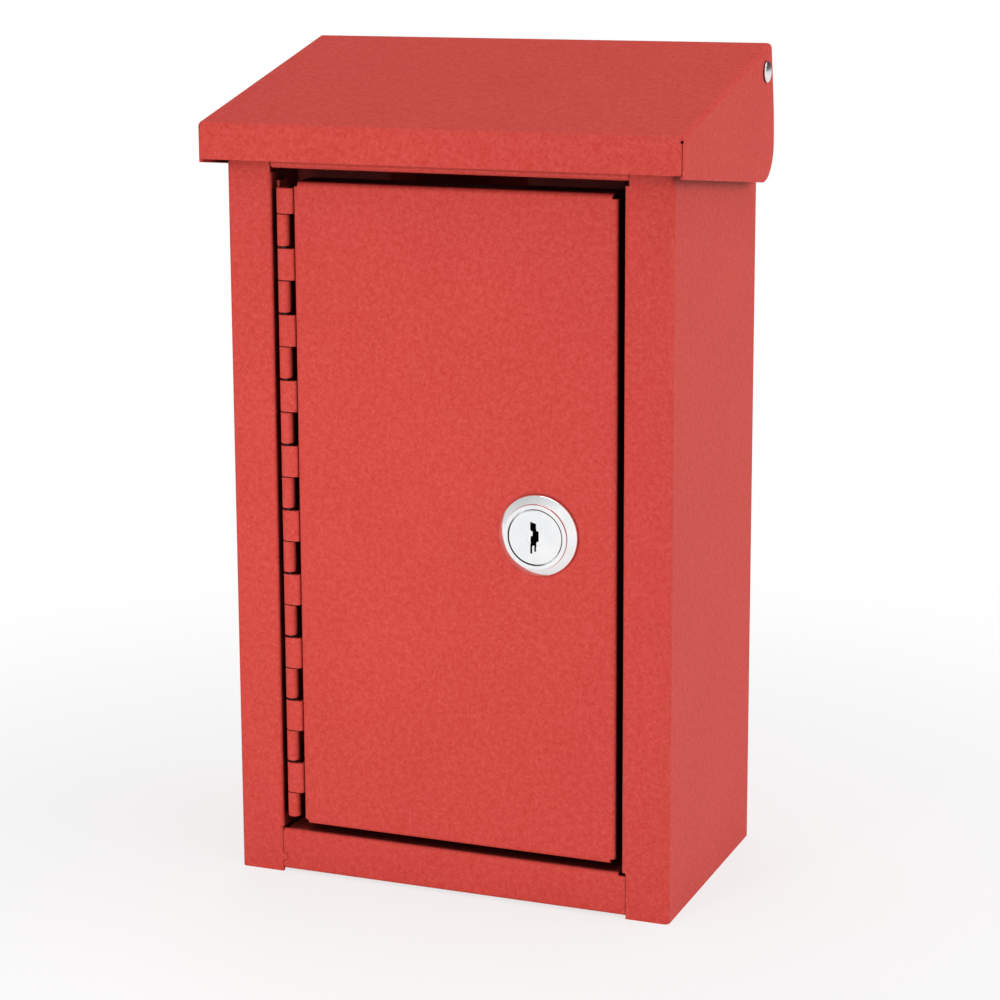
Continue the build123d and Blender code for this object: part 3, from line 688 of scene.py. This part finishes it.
tree.links.new(blend, tree.nodes["Material Output"].inputs["Surface"])


# ---------------------------------------------------------------- light
# A soft white room, with soft lamps in front, at the right, overhead and behind. What the camera sees past
# the floor is plain white, and the gloss sees the same room, dimmer behind the cabinet and above it on the
# left.

ROOM_LIGHT = 0.47
DIM_SIDES = (                      # direction, and the gloss room's light straight along it
    ((-0.50, 0.30, 0.80), 0.65),
    ((0.10, 0.95, 0.20), 0.08),
)
BOX_MIDDLE = Vector((0, 0, 0.13))


def room_light(tree, strength):
    """A white background of the given strength."""
    node = tree.nodes.new("ShaderNodeBackground")
    node.inputs["Color"].default_value = (1, 1, 1, 1)
    node.inputs["Strength"].default_value = strength
    return node


def soft_lamp(name, place, wide, tall, power, in_gloss=True):
    """An area lamp aimed at the middle of the box; in_gloss says whether shiny faces mirror it."""
    lamp = bpy.data.lights.new(name, "AREA")
    lamp.shape = "RECTANGLE"
    lamp.size, lamp.size_y = wide, tall
    lamp.energy = power
    holder = bpy.data.objects.new(name, lamp)
    holder.location = place
    holder.visible_camera = False
    holder.visible_glossy = in_gloss
    holder.rotation_euler = (BOX_MIDDLE - Vector(place)).to_track_quat("-Z", "Y").to_euler()
    bpy.context.scene.collection.objects.link(holder)


room = bpy.data.worlds.new("white_room")
bpy.context.scene.world = room
room.use_nodes = True
tree = room.node_tree
walls = room_light(tree, ROOM_LIGHT)
gloss = room_light(tree, 1.0)
backdrop = room_light(tree, 1.0)
toward = tree.nodes.new("ShaderNodeTexCoord").outputs["Generated"]
dims = []
for side, least in DIM_SIDES:
    facing = tree.nodes.new("ShaderNodeVectorMath")
    facing.operation = "DOT_PRODUCT"
    facing.inputs[1].default_value = Vector(side).normalized()
    tree.links.new(toward, facing.inputs[0])
    dims.append(ramp(tree, facing.outputs["Value"], 1.0, least, 0.15, 0.80))
tree.links.new(mixed(tree, "MULTIPLY", 1.0, *dims), gloss.inputs["Color"])
rays = tree.nodes.new("ShaderNodeLightPath").outputs
lit = shader_mix(tree, rays["Is Glossy Ray"], walls.outputs["Background"], gloss.outputs["Background"])
seen = shader_mix(tree, rays["Is Camera Ray"], lit, backdrop.outputs["Background"])
tree.links.new(seen, tree.nodes["World Output"].inputs["Surface"])

soft_lamp("front_lamp", (-0.06, -0.38, 0.16), wide=0.08, tall=0.28, power=0.49, in_gloss=False)
soft_lamp("right_lamp", (1.0, 0.05, 0.35), wide=0.7, tall=0.7, power=2.9, in_gloss=False)
soft_lamp("overhead_lamp", (0.1, 0.0, 1.0), wide=0.6, tall=0.6, power=2.15)
soft_lamp("back_lamp", (-0.4, 1.0, 0.4), wide=0.6, tall=0.6, power=2.0, in_gloss=False)


# ---------------------------------------------------------------- camera
# Long lens, from the front right and a little above.

VIEW_FROM = (0.3282, -0.8520, 0.3350)
VIEW_YAW = 23.33
VIEW_PITCH = 11.77
VIEW_ROLL = 0.73
FOCAL_LENGTH = 103.75
SHIFT = (0.12, -0.07)

lens = bpy.data.cameras.new("camera")
lens.sensor_width = 36.0
lens.lens = FOCAL_LENGTH
lens.shift_x, lens.shift_y = SHIFT
lens.dof.use_dof = False
camera = bpy.data.objects.new("camera", lens)
camera.matrix_world = (
    Matrix.Translation(VIEW_FROM)
    @ Matrix.Rotation(radians(VIEW_YAW), 4, "Z")
    @ Matrix.Rotation(radians(90 - VIEW_PITCH), 4, "X")
    @ Matrix.Rotation(radians(-VIEW_ROLL), 4, "Z")
)
bpy.context.scene.collection.objects.link(camera)
bpy.context.scene.camera = camera
bpy.context.scene.view_settings.view_transform = "Standard"
